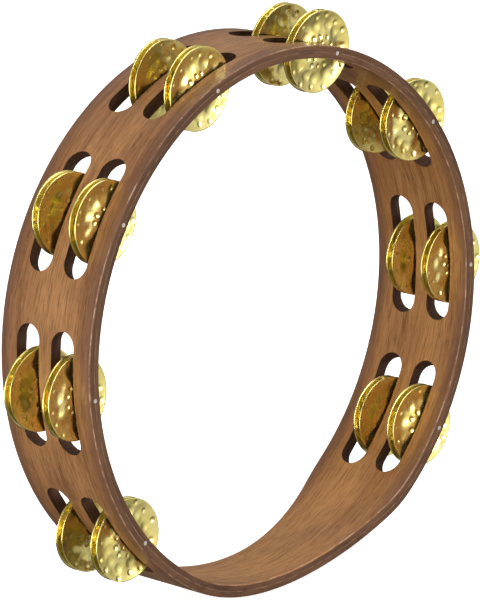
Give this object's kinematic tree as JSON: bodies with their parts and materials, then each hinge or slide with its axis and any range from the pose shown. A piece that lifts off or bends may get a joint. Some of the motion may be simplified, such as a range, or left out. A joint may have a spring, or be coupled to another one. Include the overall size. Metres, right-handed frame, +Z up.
{
  "type": "tambourine",
  "caption": "Hand-held headless tambourine: a bent wood hoop with a hollowed grip and two rows of slots, each with a pair of loose brass jingles on a pin.",
  "frame": {"origin": "lowest point of the hoop, under its middle", "axes": "+X to the right seen from the front, +Y from the front edge to the rear edge along the hoop's axis, +Z up through the hoop's middle from the hand grip"},
  "size_m": [0.2864, 0.0556, 0.2631],
  "materials": {
    "outer_wood": "brown stain under satin lacquer",
    "inner_wood": "warm brown stain under satin lacquer",
    "pin_steel": "plain",
    "jingle_brass": "polished and hammered"
  },
  "bodies": {
    "hoop": {"outer_ply": "outer_wood", "inner_ply": "inner_wood", "jingle_pin_1": "pin_steel", "jingle_pin_2": "pin_steel", "jingle_pin_3": "pin_steel", "jingle_pin_4": "pin_steel", "jingle_pin_5": "pin_steel", "jingle_pin_6": "pin_steel", "jingle_pin_7": "pin_steel", "jingle_pin_8": "pin_steel"},
    "front_row_near_jingle_1": {"front_row_near_jingle_1": "jingle_brass"},
    "front_row_far_jingle_1": {"front_row_far_jingle_1": "jingle_brass"},
    "rear_row_near_jingle_1": {"rear_row_near_jingle_1": "jingle_brass"},
    "rear_row_far_jingle_1": {"rear_row_far_jingle_1": "jingle_brass"},
    "front_row_near_jingle_2": {"front_row_near_jingle_2": "jingle_brass"},
    "front_row_far_jingle_2": {"front_row_far_jingle_2": "jingle_brass"},
    "rear_row_near_jingle_2": {"rear_row_near_jingle_2": "jingle_brass"},
    "rear_row_far_jingle_2": {"rear_row_far_jingle_2": "jingle_brass"},
    "front_row_near_jingle_3": {"front_row_near_jingle_3": "jingle_brass"},
    "front_row_far_jingle_3": {"front_row_far_jingle_3": "jingle_brass"},
    "rear_row_near_jingle_3": {"rear_row_near_jingle_3": "jingle_brass"},
    "rear_row_far_jingle_3": {"rear_row_far_jingle_3": "jingle_brass"},
    "front_row_near_jingle_4": {"front_row_near_jingle_4": "jingle_brass"},
    "front_row_far_jingle_4": {"front_row_far_jingle_4": "jingle_brass"},
    "rear_row_near_jingle_4": {"rear_row_near_jingle_4": "jingle_brass"},
    "rear_row_far_jingle_4": {"rear_row_far_jingle_4": "jingle_brass"},
    "front_row_near_jingle_5": {"front_row_near_jingle_5": "jingle_brass"},
    "front_row_far_jingle_5": {"front_row_far_jingle_5": "jingle_brass"},
    "rear_row_near_jingle_5": {"rear_row_near_jingle_5": "jingle_brass"},
    "rear_row_far_jingle_5": {"rear_row_far_jingle_5": "jingle_brass"},
    "front_row_near_jingle_6": {"front_row_near_jingle_6": "jingle_brass"},
    "front_row_far_jingle_6": {"front_row_far_jingle_6": "jingle_brass"},
    "rear_row_near_jingle_6": {"rear_row_near_jingle_6": "jingle_brass"},
    "rear_row_far_jingle_6": {"rear_row_far_jingle_6": "jingle_brass"},
    "front_row_near_jingle_7": {"front_row_near_jingle_7": "jingle_brass"},
    "front_row_far_jingle_7": {"front_row_far_jingle_7": "jingle_brass"},
    "rear_row_near_jingle_7": {"rear_row_near_jingle_7": "jingle_brass"},
    "rear_row_far_jingle_7": {"rear_row_far_jingle_7": "jingle_brass"},
    "front_row_near_jingle_8": {"front_row_near_jingle_8": "jingle_brass"},
    "front_row_far_jingle_8": {"front_row_far_jingle_8": "jingle_brass"},
    "rear_row_near_jingle_8": {"rear_row_near_jingle_8": "jingle_brass"},
    "rear_row_far_jingle_8": {"rear_row_far_jingle_8": "jingle_brass"}
  },
  "joints": [
    {"name": "front_row_near_slide_1", "type": "slide", "parent": "hoop", "child": "front_row_near_jingle_1", "axis": [0, 1, 0], "range_m": [-0.0003, 0.0043]},
    {"name": "front_row_far_slide_1", "type": "slide", "parent": "front_row_near_jingle_1", "child": "front_row_far_jingle_1", "axis": [0, 1, 0], "range_m": [0, 0.0043]},
    {"name": "rear_row_near_slide_1", "type": "slide", "parent": "hoop", "child": "rear_row_near_jingle_1", "axis": [0, 1, 0], "range_m": [-0.0003, 0.0043]},
    {"name": "rear_row_far_slide_1", "type": "slide", "parent": "rear_row_near_jingle_1", "child": "rear_row_far_jingle_1", "axis": [0, 1, 0], "range_m": [0, 0.0043]},
    {"name": "front_row_near_slide_2", "type": "slide", "parent": "hoop", "child": "front_row_near_jingle_2", "axis": [0, 1, 0], "range_m": [-0.0003, 0.0043]},
    {"name": "front_row_far_slide_2", "type": "slide", "parent": "front_row_near_jingle_2", "child": "front_row_far_jingle_2", "axis": [0, 1, 0], "range_m": [0, 0.0043]},
    {"name": "rear_row_near_slide_2", "type": "slide", "parent": "hoop", "child": "rear_row_near_jingle_2", "axis": [0, 1, 0], "range_m": [-0.0003, 0.0043]},
    {"name": "rear_row_far_slide_2", "type": "slide", "parent": "rear_row_near_jingle_2", "child": "rear_row_far_jingle_2", "axis": [0, 1, 0], "range_m": [0, 0.0043]},
    {"name": "front_row_near_slide_3", "type": "slide", "parent": "hoop", "child": "front_row_near_jingle_3", "axis": [0, 1, 0], "range_m": [-0.0003, 0.0043]},
    {"name": "front_row_far_slide_3", "type": "slide", "parent": "front_row_near_jingle_3", "child": "front_row_far_jingle_3", "axis": [0, 1, 0], "range_m": [0, 0.0043]},
    {"name": "rear_row_near_slide_3", "type": "slide", "parent": "hoop", "child": "rear_row_near_jingle_3", "axis": [0, 1, 0], "range_m": [-0.0003, 0.0043]},
    {"name": "rear_row_far_slide_3", "type": "slide", "parent": "rear_row_near_jingle_3", "child": "rear_row_far_jingle_3", "axis": [0, 1, 0], "range_m": [0, 0.0043]},
    {"name": "front_row_near_slide_4", "type": "slide", "parent": "hoop", "child": "front_row_near_jingle_4", "axis": [0, 1, 0], "range_m": [-0.0003, 0.0043]},
    {"name": "front_row_far_slide_4", "type": "slide", "parent": "front_row_near_jingle_4", "child": "front_row_far_jingle_4", "axis": [0, 1, 0], "range_m": [0, 0.0043]},
    {"name": "rear_row_near_slide_4", "type": "slide", "parent": "hoop", "child": "rear_row_near_jingle_4", "axis": [0, 1, 0], "range_m": [-0.0003, 0.0043]},
    {"name": "rear_row_far_slide_4", "type": "slide", "parent": "rear_row_near_jingle_4", "child": "rear_row_far_jingle_4", "axis": [0, 1, 0], "range_m": [0, 0.0043]},
    {"name": "front_row_near_slide_5", "type": "slide", "parent": "hoop", "child": "front_row_near_jingle_5", "axis": [0, 1, 0], "range_m": [-0.0003, 0.0043]},
    {"name": "front_row_far_slide_5", "type": "slide", "parent": "front_row_near_jingle_5", "child": "front_row_far_jingle_5", "axis": [0, 1, 0], "range_m": [0, 0.0043]},
    {"name": "rear_row_near_slide_5", "type": "slide", "parent": "hoop", "child": "rear_row_near_jingle_5", "axis": [0, 1, 0], "range_m": [-0.0003, 0.0043]},
    {"name": "rear_row_far_slide_5", "type": "slide", "parent": "rear_row_near_jingle_5", "child": "rear_row_far_jingle_5", "axis": [0, 1, 0], "range_m": [0, 0.0043]},
    {"name": "front_row_near_slide_6", "type": "slide", "parent": "hoop", "child": "front_row_near_jingle_6", "axis": [0, 1, 0], "range_m": [-0.0003, 0.0043]},
    {"name": "front_row_far_slide_6", "type": "slide", "parent": "front_row_near_jingle_6", "child": "front_row_far_jingle_6", "axis": [0, 1, 0], "range_m": [0, 0.0043]},
    {"name": "rear_row_near_slide_6", "type": "slide", "parent": "hoop", "child": "rear_row_near_jingle_6", "axis": [0, 1, 0], "range_m": [-0.0003, 0.0043]},
    {"name": "rear_row_far_slide_6", "type": "slide", "parent": "rear_row_near_jingle_6", "child": "rear_row_far_jingle_6", "axis": [0, 1, 0], "range_m": [0, 0.0043]},
    {"name": "front_row_near_slide_7", "type": "slide", "parent": "hoop", "child": "front_row_near_jingle_7", "axis": [0, 1, 0], "range_m": [-0.0003, 0.0043]},
    {"name": "front_row_far_slide_7", "type": "slide", "parent": "front_row_near_jingle_7", "child": "front_row_far_jingle_7", "axis": [0, 1, 0], "range_m": [0, 0.0043]},
    {"name": "rear_row_near_slide_7", "type": "slide", "parent": "hoop", "child": "rear_row_near_jingle_7", "axis": [0, 1, 0], "range_m": [-0.0003, 0.0043]},
    {"name": "rear_row_far_slide_7", "type": "slide", "parent": "rear_row_near_jingle_7", "child": "rear_row_far_jingle_7", "axis": [0, 1, 0], "range_m": [0, 0.0043]},
    {"name": "front_row_near_slide_8", "type": "slide", "parent": "hoop", "child": "front_row_near_jingle_8", "axis": [0, 1, 0], "range_m": [-0.0003, 0.0043]},
    {"name": "front_row_far_slide_8", "type": "slide", "parent": "front_row_near_jingle_8", "child": "front_row_far_jingle_8", "axis": [0, 1, 0], "range_m": [0, 0.0043]},
    {"name": "rear_row_near_slide_8", "type": "slide", "parent": "hoop", "child": "rear_row_near_jingle_8", "axis": [0, 1, 0], "range_m": [-0.0003, 0.0043]},
    {"name": "rear_row_far_slide_8", "type": "slide", "parent": "rear_row_near_jingle_8", "child": "rear_row_far_jingle_8", "axis": [0, 1, 0], "range_m": [0, 0.0043]}
  ]
}
